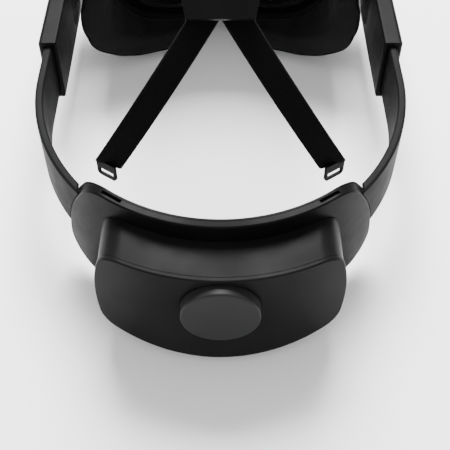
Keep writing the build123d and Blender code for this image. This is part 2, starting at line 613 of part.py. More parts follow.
def electronics_parts():
    face = -124.2
    board = along_y(Pos(0, 50) * RectangleRounded(118, 48, 8), face - 1.2, face)
    chips = ((-30, 42, 14, 14), (-10, 38, 9, 12), (34, 40, 12, 12), (34, 58, 8, 6), (-36, 60, 10, 5))
    for x, z, wide, high in chips:
        board += block(x - wide / 2, x + wide / 2, face - 2.4, face - 1.2, z - high / 2, z + high / 2)
    part("main_board", board)
    sink = block(-17, 17, -128.4, face - 2.6, 46, 80)
    for k in range(-3, 4):
        sink += block(k * 5 - 0.5, k * 5 + 0.5, -131, -128.4, 46, 80)
    part("heat_sink", sink)

    fan = along_y(Pos(0, FAN_Z) * RectangleRounded(32, 32, 4), -140, -131.1)
    fan -= rod_y(0, FAN_Z, FAN_R + 1.2, -145, -132.8)
    spokes = Rectangle(2.4, 40) + Rectangle(40, 2.4)
    fan -= along_y(Pos(0, FAN_Z) * (Circle(FAN_R) - Circle(6) - spokes), -134, -130)
    part("fan_frame", fan)
    rotor = rod_y(0, FAN_Z, 5, -139.4, -133.4)
    blades = 7
    for k in range(blades):
        blade = Rot(0, 360 / blades * k, 0) * Pos(9, 0, 0) * Rot(32, 0, 0) * Box(8.6, 0.8, 5)
        rotor += Pos(0, -136.4, FAN_Z) * blade
    part("fan_rotor", rotor)


def front_strap_parts():
    foot = VISOR_HIGH + 0.1
    anchor = block(-17, 17, -101.5, -92.5, foot, foot + 7.9)
    anchor = fillet([e for e in anchor.edges() if abs(e.center().Z - foot - 7.9) < 0.01], 2.4)
    part("strap_anchor", anchor - block(-13.2, 13.2, -98.8, -95.4, foot + 2.2, foot + 12))
    flat_z = CROWN_Z - CROWN_STEP
    bends = [(-97.1, foot + 2.5), (-97.1, 136), (-60, flat_z), (FRONT_STRAP_END, flat_z)]
    path = Plane.YZ * FilletPolyline(*bends, radius=32)
    section = Plane(origin=path @ 0, x_dir=(1, 0, 0), z_dir=path % 0) * Rectangle(CROWN_WIDE, LEG_THICK)
    part("front_strap", sweep(section, path=path))


def control_parts():
    top, low, high = VISOR_HIGH, BUTTON_Y - BUTTON_DEEP / 2, BUTTON_Y + BUTTON_DEEP / 2
    for name, x, half in (("power_button", POWER_X, 6), ("volume_rocker", VOLUME_X, 11)):
        cap = block(x - half, x + half, low, high, top - 3.4, top + 0.6)
        cap = fillet([e for e in cap.edges() if abs(e.center().Z - top - 0.6) < 0.01], 0.5)
        if name == "power_button":
            cap += block(x - half - 1.4, x + half + 1.4, low - 1, high + 1, top - 4.8, top - 3.4)
        else:
            cap += rod_y(x, top - 4.4, 1.6, low - 1.5, high + 1.5)
        part(name, cap)
    knob = block(KNOB_X - 10.5, KNOB_X + 10.5, -113.5, -106.5, 3.3, 4.5)
    part("ipd_knob", knob + block(KNOB_X - 3, KNOB_X + 3, -112.2, -107.8, 0.4, 3.3))


# ---------------------------------------------------------------- eye modules and face gasket
def lens_barrel(x):
    barrel = rod_y(x, EYE_Z, BARREL_R, -117, -94.2)
    for z in (EYE_Z + RAIL_Z, EYE_Z - RAIL_Z):
        barrel += block(x - 6, x + 6, RAIL_Y - 3.6, RAIL_Y + 3.6, z - 4.4, z + 4.4)
        barrel -= rod_x(RAIL_Y, z, RAIL_R + RAIL_FIT, x - 10, x + 10)
    barrel -= rod_y(x, EYE_Z, BARREL_BORE, -114.6, -90)
    return barrel - along_y(Pos(x, EYE_Z) * Rectangle(29, 29), -118, -110)


def eye_lens(x):
    bulge = Pos(x, -142.0, EYE_Z) * Sphere(46)
    return (rod_y(x, EYE_Z, BARREL_BORE - 0.05, -103.6, -90) & bulge)


def eye_parts():
    for side, name in ((1, "left"), (-1, "right")):
        x = side * EYE_X
        part("lens_barrel_" + name, lens_barrel(x))
        part("eye_lens_" + name, eye_lens(x))
        part("display_" + name, block(x - 14.4, x + 14.4, -116.6, -114.8, EYE_Z - 14.4, EYE_Z + 14.4))


def gasket_parts():
    outer = Pos(0, 47) * RectangleRounded(154, 82, 36)
    hole = Pos(0, 48) * RectangleRounded(128, 56, 26)
    ring = outer - hole - Pos(0, 2) * Ellipse(19, 27)
    part("gasket_frame", along_y(ring, VISOR_BACK + 0.1, VISOR_BACK + 3.0))
    foam = along_y(ring, VISOR_BACK + 3.1, -30)
    part("gasket_foam", foam - Pos(0, FACE_R - 76, 0) * Cylinder(FACE_R, BIG))


# ---------------------------------------------------------------- build and write
cradle_parts()
band_parts()
pod_parts()
rack_parts()
dial_parts()
strap_parts()
arm_parts()
front_parts()
chassis_parts()
electronics_parts()
front_strap_parts()
control_parts()
eye_parts()
gasket_parts()

os.makedirs("parts", exist_ok=True)
for name, solids in PARTS.items():
    shape = solids[0] if len(solids) == 1 else Compound(children=list(solids))
    export_step(shape, "parts/" + name + ".step")
print(len(PARTS), "nodes")
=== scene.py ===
"""Looks for the head-worn display: finishes for its hard parts, woven straps and padded cushions."""
from math import cos, hypot, pi, radians, sin, sqrt

import bmesh
import bpy
from mathutils import Matrix, Vector


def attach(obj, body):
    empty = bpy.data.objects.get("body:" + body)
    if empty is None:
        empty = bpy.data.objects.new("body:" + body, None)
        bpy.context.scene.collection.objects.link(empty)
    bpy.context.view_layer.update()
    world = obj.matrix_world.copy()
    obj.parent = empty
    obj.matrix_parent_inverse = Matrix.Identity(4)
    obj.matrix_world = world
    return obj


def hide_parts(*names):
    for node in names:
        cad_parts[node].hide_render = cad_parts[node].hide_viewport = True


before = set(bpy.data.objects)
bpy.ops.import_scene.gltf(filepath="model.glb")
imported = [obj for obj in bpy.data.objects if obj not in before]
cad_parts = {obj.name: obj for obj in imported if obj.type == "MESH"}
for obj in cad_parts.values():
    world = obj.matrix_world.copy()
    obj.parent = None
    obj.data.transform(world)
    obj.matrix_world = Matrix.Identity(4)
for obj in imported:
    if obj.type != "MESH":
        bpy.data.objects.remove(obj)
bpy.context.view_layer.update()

bl_info = {
    "name": "Head-worn display finishes",
    "version": (1, 0, 0),
    "blender": (4, 5, 0),
    "location": "View3D > Sidebar > Headset",
    "description": "Gives the head-worn display its plastics, metals, straps, cushions and studio",
    "category": "Object",
}

MM = 0.001

# Left leg's middle line: three points of its arc. Its lower end is cut at (x, z), on a slope.
LEG_POINTS = ((0.0458, 0.1057, 0.0874), (0.0233, 0.0941, 0.1184), (0.0045, 0.0742, 0.1395))
LEG_CUT = (0.0458, 0.0892)
LEG_CUT_TILT = radians(14.0)
LEG_STEPS, LEG_TAIL_STEPS = 40, 8
LEG_GAP = 0.4 * MM

# Middle lines of the other straps: corners (y, z) and the radius that rounds them
CROWN_BENDS = ((-0.038, 0.1835), (0.01629, 0.1835), (0.0727, 0.144))
CROWN_BEND_R = 0.070
FRONT_BENDS = ((-0.0971, 0.0946), (-0.0971, 0.136), (-0.060, 0.1641), (-0.002, 0.1641))
FRONT_BEND_R = 0.032
STEP = 1.5 * MM

# Sewn boxes: first and last step along the strap, and their share of its width and half thickness
CROWN_SEWN, FRONT_SEWN = (-12, -5), (12, 20)
SEWN_WIDE, SEWN_OUT = 0.8, 1.02

# Edges of the cushions: half width, half height, corner radius and middle height
PAD_LOOP = (0.056, 0.023, 0.022, 0.034)
GASKET_LOOP = (0.077, 0.041, 0.036, 0.047)
NOSE_HALF = 0.0195

# Curves that those edges follow: the pad's half axes and middle y, and the gasket's radius and middle y
PAD_CURVE = (0.0821, 0.0966, 0.0167)
GASKET_CURVE = (0.105, 0.026)

# Foam under its cover: how far it shrinks, then how hard and how far it is puffed
SHRINK, PUFF_PRESSURE, PUFF_LIMIT = 0.5 * MM, 4.0, 1.0 * MM
COVER_STRETCH, COVER_BEND = 12.0, 0.6
RELAX_ROUNDS, SEAM_ROUNDS = 6, 8

# Scales of the noises in the finishes, in cells per metre, and the range that most of a noise fills
CLOUD, SMUDGE, CHIPS, SLOW, FIBRE, FUZZ = 38.0, 95.0, 420.0, 60.0, 5200.0, 6000.0
MOST = (0.3, 0.7)

# Studio: lights (name, place, size, power) and what they face, the camera, and the floor with its wall
LIGHTS = (("key", (0.0, -1.1, 1.5), 1.0, 170.0), ("back", (0.0, 1.2, 0.9), 0.3, 6.0))
LIGHT_AIM = (0.0, 0.05, 0.06)
CAMERA_PLACE, CAMERA_AIM = (0.0, 0.33575, 0.32509), (0.0, 0.1217, 0.070)
CAMERA_LENS, CAMERA_SHIFT, CAMERA_NEAR = 65.6, 0.01, 0.01
FLOOR_HALF, FLOOR_WALL, FLOOR_CURVE, FLOOR_TOP, FLOOR_DROP = 6.0, 4.0, 1.2, 5.0, 0.5 * MM
FLOOR_STEPS = 12


# ---------------------------------------------------------------- sizes and colours
class HeadsetSizes(bpy.types.PropertyGroup):
    grain: bpy.props.FloatProperty(
        name="Grain", description="Size of the moulded grain on the shells", default=0.35 * MM, unit="LENGTH")
    edge: bpy.props.FloatProperty(
        name="Edge", description="Radius that the light finds on edges", default=0.35 * MM, unit="LENGTH")
    rib: bpy.props.FloatProperty(
        name="Webbing rib", description="Distance between two ribs", default=0.9 * MM, unit="LENGTH")
    strap_thick: bpy.props.FloatProperty(
        name="Strap thickness", description="Thickness of all the straps", default=2.0 * MM, unit="LENGTH")
    leg_wide: bpy.props.FloatProperty(
        name="Leg width", description="Width of the two rear strap legs", default=10.6 * MM, unit="LENGTH")
    crown_wide: bpy.props.FloatProperty(
        name="Wide straps", description="Width of the top straps", default=24.0 * MM, unit="LENGTH")
    stitch: bpy.props.FloatProperty(
        name="Stitch", description="Length of one stitch", default=2.2 * MM, unit="LENGTH")
    thread: bpy.props.FloatProperty(
        name="Thread", description="Thickness of the sewing thread", default=0.45 * MM, unit="LENGTH")
    knit: bpy.props.FloatProperty(
        name="Knit", description="Size of one loop of the knitted covers", default=0.8 * MM, unit="LENGTH")
    piping: bpy.props.FloatProperty(
        name="Piping", description="Thickness of the piping on the cushions", default=1.4 * MM, unit="LENGTH")
    voxel: bpy.props.FloatProperty(
        name="Cushion mesh", description="Mesh size of the cushions", default=2.4 * MM, unit="LENGTH")


def colour(name, text, value):
    """One colour that a user can change."""
    return bpy.props.FloatVectorProperty(name=name, description=text, default=value, subtype="COLOR", size=3,
                                         min=0.0, max=1.0)


class HeadsetColours(bpy.types.PropertyGroup):
    shell: colour("Shell", "Moulded shells", (0.003, 0.003, 0.0032))
    pod: colour("Pod", "Battery pod and its cover", (0.0055, 0.0055, 0.0058))
    dial: colour("Dial", "Fit dial", (0.014, 0.014, 0.0146))
    band: colour("Band", "Side bands", (0.005, 0.005, 0.0053))
    trim: colour("Trim", "Buttons, covers and frames", (0.008, 0.008, 0.0084))
    tab: colour("Tabs", "End tabs of the rear straps", (0.0012, 0.0012, 0.0013))
    glass: colour("Front cover", "Glossy front cover", (0.004, 0.004, 0.005))
    webbing: colour("Webbing", "Woven straps", (0.0012, 0.0012, 0.0013))
    knit: colour("Knit", "Knitted cushion covers", (0.006, 0.006, 0.0065))
    thread: colour("Thread", "Sewing thread", (0.008, 0.008, 0.0086))
    steel: colour("Steel", "Pins, rails, screws and tapes", (0.55, 0.55, 0.56))
    alloy: colour("Alloy", "Chassis and heat sink", (0.5, 0.5, 0.52))
    nylon: colour("Nylon", "Racks, pinion and bush", (0.62, 0.60, 0.55))
    board: colour("Board", "Circuit boards", (0.008, 0.07, 0.03))
    foil: colour("Foil", "Battery wrapping", (0.16, 0.18, 0.22))
    floor: colour("Floor", "Studio floor and backdrop", (0.93, 0.93, 0.93))


def sizes():
    return bpy.context.scene.headset_sizes


def colours():
    return bpy.context.scene.headset_colours


# ---------------------------------------------------------------- node helpers
def new_group(name, inputs, outputs):
    """An empty node group with its sockets."""
    tree = bpy.data.node_groups.new(name, "ShaderNodeTree")
    for kind, side in ((inputs, "INPUT"), (outputs, "OUTPUT")):
        for label, socket in kind:
            tree.interface.new_socket(name=label, in_out=side, socket_type="NodeSocket" + socket)
    return tree, tree.nodes.new("NodeGroupInput"), tree.nodes.new("NodeGroupOutput")


def math_node(tree, operation, *values, clamp=False):
    """The result of one sum on numbers or sockets."""
    node = tree.nodes.new("ShaderNodeMath")
    node.operation = operation
    node.use_clamp = clamp
    for socket, value in zip(node.inputs, values):
        if isinstance(value, (int, float)):
            socket.default_value = value
        else:
            tree.links.new(value, socket)
    return node.outputs[0]


def noise(tree, place, scale, detail=3.0, roughness=0.55):
    """A noise between 0 and 1 over a place."""
    node = tree.nodes.new("ShaderNodeTexNoise")
    node.inputs["Detail"].default_value = detail
    node.inputs["Roughness"].default_value = roughness
    tree.links.new(place, node.inputs["Vector"])
    if isinstance(scale, (int, float)):
        node.inputs["Scale"].default_value = scale
    else:
        tree.links.new(scale, node.inputs["Scale"])
    return node.outputs["Fac"]


def remap(tree, value, low, high, to_low=0.0, to_high=1.0):
    """A value moved from one range to another."""
    node = tree.nodes.new("ShaderNodeMapRange")
    tree.links.new(value, node.inputs["Value"])
    for label, number in (("From Min", low), ("From Max", high), ("To Min", to_low), ("To Max", to_high)):
        node.inputs[label].default_value = number
    return node.outputs["Result"]


def mix_colour(tree, factor, first, second):
    """A blend of two colours by a factor."""
    node = tree.nodes.new("ShaderNodeMix")
    node.data_type = "RGBA"
    for socket, value in ((node.inputs[0], factor), (node.inputs[6], first), (node.inputs[7], second)):
        if isinstance(value, (int, float, tuple)):
            socket.default_value = value
        else:
            tree.links.new(value, socket)
    return node.outputs[2]


def rgba(value, gain=1.0):
    """A colour with its gain and an opaque alpha."""
    return (value[0] * gain, value[1] * gain, value[2] * gain, 1.0)


# ---------------------------------------------------------------- shared effects
def grain_group():
    """Fine moulded grain: a height, and a slow cloudiness for colour and roughness."""
    tree, given, put = new_group("moulded_grain", (("Place", "Vector"), ("Cells", "Float")),
                                 (("Height", "Float"), ("Cloud", "Float"), ("Smudge", "Float")))
    cells = tree.nodes.new("ShaderNodeTexVoronoi")
    cells.feature = "SMOOTH_F1"
    tree.links.new(given.outputs["Place"], cells.inputs["Vector"])
    tree.links.new(given.outputs["Cells"], cells.inputs["Scale"])
    fine = noise(tree, given.outputs["Place"], given.outputs["Cells"], 2.0)
    height = math_node(tree, "MULTIPLY_ADD", fine, 0.5, cells.outputs["Distance"])
    tree.links.new(height, put.inputs["Height"])
    tree.links.new(noise(tree, given.outputs["Place"], CLOUD, 4.0), put.inputs["Cloud"])
    tree.links.new(noise(tree, given.outputs["Place"], SMUDGE, 5.0, 0.65), put.inputs["Smudge"])
    return tree


def wear_group():
    """How worn an edge is: rounded edges, broken up by noise."""
    tree, given, put = new_group("edge_wear", (("Place", "Vector"), ("Amount", "Float")),
                                 (("Mask", "Float"), ("Normal", "Vector")))
    rounded = tree.nodes.new("ShaderNodeBevel")
    rounded.samples = 6
    rounded.inputs["Radius"].default_value = sizes().edge
    flat = tree.nodes.new("ShaderNodeNewGeometry")
    dot = tree.nodes.new("ShaderNodeVectorMath")
    dot.operation = "DOT_PRODUCT"
    tree.links.new(rounded.outputs["Normal"], dot.inputs[0])
    tree.links.new(flat.outputs["Normal"], dot.inputs[1])
    edge = math_node(tree, "SUBTRACT", 1.0, dot.outputs["Value"], clamp=True)
    broken = remap(tree, noise(tree, given.outputs["Place"], CHIPS, 4.0), 0.35, 0.7)
    worn = math_node(tree, "MULTIPLY", edge, broken)
    mask = math_node(tree, "MULTIPLY", worn, given.outputs["Amount"], clamp=True)
    tree.links.new(mask, put.inputs["Mask"])
    tree.links.new(rounded.outputs["Normal"], put.inputs["Normal"])
    return tree


def weave_group():
    """Webbing on a strip: u runs along it and v across it, in metres."""
    tree, given, put = new_group("webbing_weave", (("Strip", "Vector"), ("Rib", "Float")),
                                 (("Height", "Float"), ("Painted Shade And Tone", "Float")))
    parts = tree.nodes.new("ShaderNodeSeparateXYZ")
    tree.links.new(given.outputs["Strip"], parts.inputs[0])
    along = math_node(tree, "DIVIDE", parts.outputs["X"], given.outputs["Rib"])
    across = math_node(tree, "DIVIDE", parts.outputs["Y"], given.outputs["Rib"])
    row = math_node(tree, "MODULO", math_node(tree, "FLOOR", across), 2.0)
    shifted = math_node(tree, "MULTIPLY_ADD", row, 0.5, along)
    bump_a = math_node(tree, "ABSOLUTE", math_node(tree, "SINE", math_node(tree, "MULTIPLY", shifted, pi)))
    bump_b = math_node(tree, "ABSOLUTE", math_node(tree, "SINE", math_node(tree, "MULTIPLY", across, pi)))
    soft_a, soft_b = math_node(tree, "POWER", bump_a, 0.6), math_node(tree, "POWER", bump_b, 0.5)
    height = math_node(tree, "MULTIPLY", soft_a, soft_b)
    tree.links.new(height, put.inputs["Height"])
    fibre = noise(tree, given.outputs["Strip"], FIBRE, 3.0)
    # Shade output: the rib height, painted as shade between the ribs, plus fibre noise for the fibres' own
    # uneven tone.
    shade = math_node(tree, "MULTIPLY_ADD", height, 0.7, math_node(tree, "MULTIPLY", fibre, 0.6))
    tree.links.new(shade, put.inputs["Painted Shade And Tone"])
    return tree


def knit_group():
    """A fine knitted face over foam: staggered loops that need no unwrapping."""
    tree, given, put = new_group("knit_face", (("Place", "Vector"), ("Loops", "Float")),
                                 (("Height", "Float"), ("Painted Shade And Tone", "Float")))
    cells = tree.nodes.new("ShaderNodeTexVoronoi")
    cells.feature = "F1"
    cells.inputs["Randomness"].default_value = 0.35
    tree.links.new(given.outputs["Place"], cells.inputs["Vector"])
    tree.links.new(given.outputs["Loops"], cells.inputs["Scale"])
    loops = math_node(tree, "SUBTRACT", 1.0, cells.outputs["Distance"], clamp=True)
    fuzz = noise(tree, given.outputs["Place"], FUZZ, 3.0)
    tree.links.new(math_node(tree, "MULTIPLY_ADD", fuzz, 0.25, loops), put.inputs["Height"])
    slow = noise(tree, given.outputs["Place"], SLOW, 3.0)
    # Shade output: the loops, painted as shade between them, plus a slow noise for the cover's own uneven
    # tone.
    tree.links.new(math_node(tree, "MULTIPLY_ADD", loops, 0.6, math_node(tree, "MULTIPLY", slow, 0.5)),
                   put.inputs["Painted Shade And Tone"])
    return tree


def brushed_group():
    """Long fine scratches along X."""
    tree, given, put = new_group("brushed_lines", (("Place", "Vector"),),
                                 (("Height", "Float"), ("Rough", "Float")))
    stretch = tree.nodes.new("ShaderNodeVectorMath")
    stretch.operation = "MULTIPLY"
    stretch.inputs[1].default_value = (60.0, 2600.0, 2600.0)
    tree.links.new(given.outputs["Place"], stretch.inputs[0])
    lines = noise(tree, stretch.outputs[0], 1.0, 4.0, 0.7)
    tree.links.new(lines, put.inputs["Height"])
    tree.links.new(remap(tree, lines, *MOST, 0.22, 0.42), put.inputs["Rough"])
    return tree


EFFECTS = {"moulded_grain": grain_group, "edge_wear": wear_group, "webbing_weave": weave_group,
           "knit_face": knit_group, "brushed_lines": brushed_group}


def effect(tree, name, **values):
    """Places a shared effect in a material's tree."""
    node = tree.nodes.new("ShaderNodeGroup")
    node.node_tree = bpy.data.node_groups.get(name) or EFFECTS[name]()
    for label, value in values.items():
        socket = node.inputs[label]
        if isinstance(value, (int, float)):
            socket.default_value = value
        else:
            tree.links.new(value, socket)
    return node.outputs


class Finish:
    """A new material with its shader and its two kinds of coordinates."""

    def __init__(self, name, base):
        self.material = bpy.data.materials.new(name)
        self.material.use_nodes = True
        self.tree = self.material.node_tree
        self.shader = self.tree.nodes["Principled BSDF"]
        self.shader.inputs["Base Color"].default_value = rgba(base)
        self.material.diffuse_color = rgba(base)
        coordinates = self.tree.nodes.new("ShaderNodeTexCoord")
        self.place = coordinates.outputs["Object"]
        self.strip = coordinates.outputs["UV"]

    def set(self, **values):
        """Gives the shader's inputs their numbers, colours or sockets."""
        for label, value in values.items():
            socket = self.shader.inputs[label.replace("_", " ")]
            if isinstance(value, (int, float, tuple)):
                socket.default_value = value
            else:
                self.tree.links.new(value, socket)

    def bump(self, height, distance, strength, normal=None):
        """Raises the surface by a height, over the rounded edges where they are given."""
        node = self.tree.nodes.new("ShaderNodeBump")
        node.inputs["Distance"].default_value = distance
        node.inputs["Strength"].default_value = strength
        self.tree.links.new(height, node.inputs["Height"])
        if normal is not None:
            self.tree.links.new(normal, node.inputs["Normal"])
        self.tree.links.new(node.outputs["Normal"], self.shader.inputs["Normal"])


# ---------------------------------------------------------------- finishes
def moulded(name, base, rough, lift=1.5, grain_gain=1.0, worn=1.6, ior=1.09):
    """Moulded plastic: fine grain, cloudy tone and rubbed edges."""
    f = Finish(name, base)
    grain = effect(f.tree, "moulded_grain", Place=f.place, Cells=1.0 / (sizes().grain * grain_gain))
    wear = effect(f.tree, "edge_wear", Place=f.place, Amount=worn)
    tone = mix_colour(f.tree, remap(f.tree, grain["Cloud"], *MOST), rgba(base), rgba(base, lift))
    tone = mix_colour(f.tree, wear["Mask"], tone, rgba(base, 3.0))
    rough_cloud = remap(f.tree, grain["Smudge"], *MOST, rough - 0.05, rough + 0.06)
    rubbed = math_node(f.tree, "MULTIPLY", wear["Mask"], 0.12)
    f.set(Base_Color=tone, Roughness=math_node(f.tree, "SUBTRACT", rough_cloud, rubbed), IOR=ior)
    f.bump(grain["Height"], 0.03 * MM, 0.35, wear["Normal"])
    return f.material


def glossy_cover(name, base):
    """Polished front cover with faint smears."""
    f = Finish(name, base)
    grain = effect(f.tree, "moulded_grain", Place=f.place, Cells=900.0)
    wear = effect(f.tree, "edge_wear", Place=f.place, Amount=0.8)
    smear = remap(f.tree, grain["Smudge"], 0.42, 0.72, 0.05, 0.17)
    tone = mix_colour(f.tree, remap(f.tree, grain["Cloud"], *MOST), rgba(base), rgba(base, 1.6))
    f.set(Base_Color=tone, Roughness=smear, IOR=1.28)
    f.bump(grain["Cloud"], 0.05 * MM, 0.1, wear["Normal"])
    return f.material


def webbing(name, base):
    """Ribbed webbing, with painted shade darkening it between its ribs."""
    f = Finish(name, base)
    weave = effect(f.tree, "webbing_weave", Strip=f.strip, Rib=sizes().rib)
    # The colour darkens where the weave's shade output is low: painted shade between the ribs, mixed with the
    # fibres' own tone.
    f.set(Base_Color=mix_colour(f.tree, weave["Painted Shade And Tone"], rgba(base, 0.55), rgba(base, 1.5)),
          Roughness=remap(f.tree, weave["Painted Shade And Tone"], 0.0, 1.0, 0.9, 0.68),
          IOR=1.12, Sheen_Weight=0.01, Sheen_Roughness=0.45)
    f.bump(weave["Height"], 0.22 * MM, 0.6)
    return f.material


def knitted(name, base):
    """Soft knitted cover, with painted shade darkening it between its loops."""
    f = Finish(name, base)
    knit = effect(f.tree, "knit_face", Place=f.place, Loops=1.0 / sizes().knit)
    # The colour darkens where the knit's shade output is low: painted shade between the loops, mixed with the
    # cover's own uneven tone.
    f.set(Base_Color=mix_colour(f.tree, knit["Painted Shade And Tone"], rgba(base, 0.5), rgba(base, 1.7)),
          Roughness=remap(f.tree, knit["Painted Shade And Tone"], 0.2, 1.0, 0.95, 0.8),
          IOR=1.15, Sheen_Weight=0.03, Sheen_Roughness=0.5)
    f.bump(knit["Height"], 0.25 * MM, 0.7)
    return f.material


def metal(name, base, rough_gain=0.0):
    """Brushed metal, brighter on its rubbed edges."""
    f = Finish(name, base)
    lines = effect(f.tree, "brushed_lines", Place=f.place)
    wear = effect(f.tree, "edge_wear", Place=f.place, Amount=1.5)
    f.set(Metallic=1.0, Roughness=math_node(f.tree, "ADD", lines["Rough"], rough_gain),
          Base_Color=mix_colour(f.tree, wear["Mask"], rgba(base), rgba(base, 1.4)))
    f.bump(lines["Height"], 0.01 * MM, 0.3, wear["Normal"])
    return f.material


def circuit_board(name, base):
    """Solder mask with paler tracks under it."""
    f = Finish(name, base)
    tracks = f.tree.nodes.new("ShaderNodeTexBrick")
    tracks.inputs["Scale"].default_value = 260.0
    tracks.inputs["Mortar Size"].default_value = 0.035
    tracks.inputs["Color1"].default_value = rgba(base)
    tracks.inputs["Color2"].default_value = rgba(base, 0.7)
    tracks.inputs["Mortar"].default_value = rgba(base, 2.4)
    f.tree.links.new(f.place, tracks.inputs["Vector"])
    grain = effect(f.tree, "moulded_grain", Place=f.place, Cells=1500.0)
    f.set(Base_Color=tracks.outputs["Color"],
          Roughness=remap(f.tree, grain["Smudge"], *MOST, 0.28, 0.45))
    f.bump(tracks.outputs["Fac"], 0.05 * MM, 0.4)
    return f.material


def foil_wrap(name, base):
    """Slightly crumpled wrapping of the cells."""
    f = Finish(name, base)
    grain = effect(f.tree, "moulded_grain", Place=f.place, Cells=300.0)
    f.set(Metallic=0.6, Roughness=remap(f.tree, grain["Smudge"], *MOST, 0.25, 0.5),
          Base_Color=mix_colour(f.tree, grain["Cloud"], rgba(base), rgba(base, 1.5)))
    f.bump(grain["Smudge"], 0.3 * MM, 0.3)
    return f.material


def lens_glass(name):
    """Clear lens moulding with a faintly uneven face."""
    f = Finish(name, (0.9, 0.93, 0.95))
    grain = effect(f.tree, "moulded_grain", Place=f.place, Cells=600.0)
    f.set(Transmission_Weight=1.0, IOR=1.49, Roughness=remap(f.tree, grain["Smudge"], 0.3, 0.8, 0.0, 0.06))
    f.bump(grain["Cloud"], 0.02 * MM, 0.2)
    return f.material


def screen_glass(name):
    """Dark glass over a faint grid of cells."""
    f = Finish(name, (0.004, 0.004, 0.006))
    grid = f.tree.nodes.new("ShaderNodeTexChecker")
    grid.inputs["Scale"].default_value = 4000.0
    grid.inputs["Color1"].default_value = (0.004, 0.004, 0.006, 1)
    grid.inputs["Color2"].default_value = (0.007, 0.008, 0.012, 1)
    f.tree.links.new(f.place, grid.inputs["Vector"])
    grain = effect(f.tree, "moulded_grain", Place=f.place, Cells=600.0)
    f.set(Base_Color=grid.outputs["Color"],
          Roughness=remap(f.tree, grain["Smudge"], 0.3, 0.8, 0.06, 0.16))
    return f.material


def paint_all(finishes):
    """Gives each finish to its CAD nodes."""
    for material, nodes in finishes:
        for node in nodes:
            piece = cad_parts[node]
            piece.data.materials.clear()
            piece.data.materials.append(material)


def fail_if(missing, what):
    """Stops the script when a piece could not be made."""
    if missing:
        raise RuntimeError(what + " not made: " + ", ".join(missing))


# ---------------------------------------------------------------- strips, stitches and cushions
def arc_through(a, b, c, count):
    """Points along the arc through three points."""
    a, b, c = Vector(a), Vector(b), Vector(c)
    normal = (b - a).cross(c - a).normalized()
    ab, ac = b - a, c - a
    face = ab.cross(ac)
    to_centre = face.cross(ab) * ac.length_squared + ac.cross(face) * ab.length_squared
    centre = a + to_centre / (2 * face.length_squared)
    turn = (a - centre).angle(b - centre) + (b - centre).angle(c - centre)
    return [centre + Matrix.Rotation(turn * k / (count - 1), 3, normal) @ (a - centre) for k in range(count)]


def rounded_path(corners, radius, step):
    """Points along straight runs in the YZ plane, with each inner corner rounded."""
    corners = [Vector((0.0, y, z)) for y, z in corners]
    points = [corners[0]]
    for before, corner, after in zip(corners, corners[1:], corners[2:]):
        back, on = (before - corner).normalized(), (after - corner).normalized()
        half = back.angle(on) / 2
        reach = radius / (sin(half) / cos(half))
        start, end = corner + back * reach, corner + on * reach
        centre = corner + (back + on).normalized() * radius / sin(half)
        middle = centre + (corner - centre).normalized() * radius
        points += arc_through(start, middle, end, max(4, round(radius * (pi - 2 * half) / step)))
    return finer(points + [corners[-1]], step)


def finer(points, step):
    """The same line with points no further apart than about one step."""
    out = [points[0]]
    for a, b in zip(points, points[1:]):
        pieces = max(1, round((b - a).length / step))
        out += [a.lerp(b, (k + 1) / pieces) for k in range(pieces)]
    return out


def rounded_loop(half_x, half_z, radius, middle_z, steps=8):
    """Points (x, z) round a rounded rectangle, anticlockwise from the end of its lower side."""
    x, z = half_x - radius, half_z - radius
    points = []
    for corner_x, corner_z, start in ((x, -z, -pi / 2), (x, z, 0.0), (-x, z, pi / 2), (-x, -z, pi)):
        for k in range(steps + 1):
            angle = start + pi / 2 * k / steps
            points.append((corner_x + radius * cos(angle), middle_z + corner_z + radius * sin(angle)))
    return points


def strip_frames(path, across_hint):
    """Along, across and up directions at each point of a strip's middle line."""
    frames = []
    for k, point in enumerate(path):
        along = (path[min(k + 1, len(path) - 1)] - path[max(k - 1, 0)]).normalized()
        across = (across_hint - along * across_hint.dot(along)).normalized()
        frames.append((point, along, across, along.cross(across).normalized()))
    return frames


def section_outline(wide, thick, steps=4, roundness=0.92):
    """A flat section with round edges, anticlockwise."""
    r = thick / 2 * roundness
    corners = ((wide / 2 - r, thick / 2 - r, 0), (-wide / 2 + r, thick / 2 - r, pi / 2),
               (-wide / 2 + r, -thick / 2 + r, pi), (wide / 2 - r, -thick / 2 + r, 3 * pi / 2))
    ring = []
    for (x, y, start), (next_x, next_y, _) in zip(corners, corners[1:] + corners[:1]):
        ring += [(x + r * cos(start + pi / 2 * k / steps), y + r * sin(start + pi / 2 * k / steps))
                 for k in range(steps + 1)]
        end_angle = start + pi / 2
        ax, ay = x + r * cos(end_angle), y + r * sin(end_angle)
        bx, by = next_x + r * cos(end_angle), next_y + r * sin(end_angle)
        inner = max(1, round(hypot(bx - ax, by - ay) / STEP))
        ring += [(ax + (bx - ax) * k / inner, ay + (by - ay) * k / inner) for k in range(1, inner)]
    return ring


def new_piece(name, mesh, material, body, replaces=()):
    """Puts a mesh in the scene, on its body, in place of the CAD nodes that it stands for."""
    piece = bpy.data.objects.new(name, mesh)
    bpy.context.scene.collection.objects.link(piece)
    piece.data.materials.append(material)
    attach(piece, body)
    if replaces:
        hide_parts(*replaces)
    return piece


def shade(mesh):
    """Smooth shading on every face."""
    for polygon in mesh.polygons:
        polygon.use_smooth = True


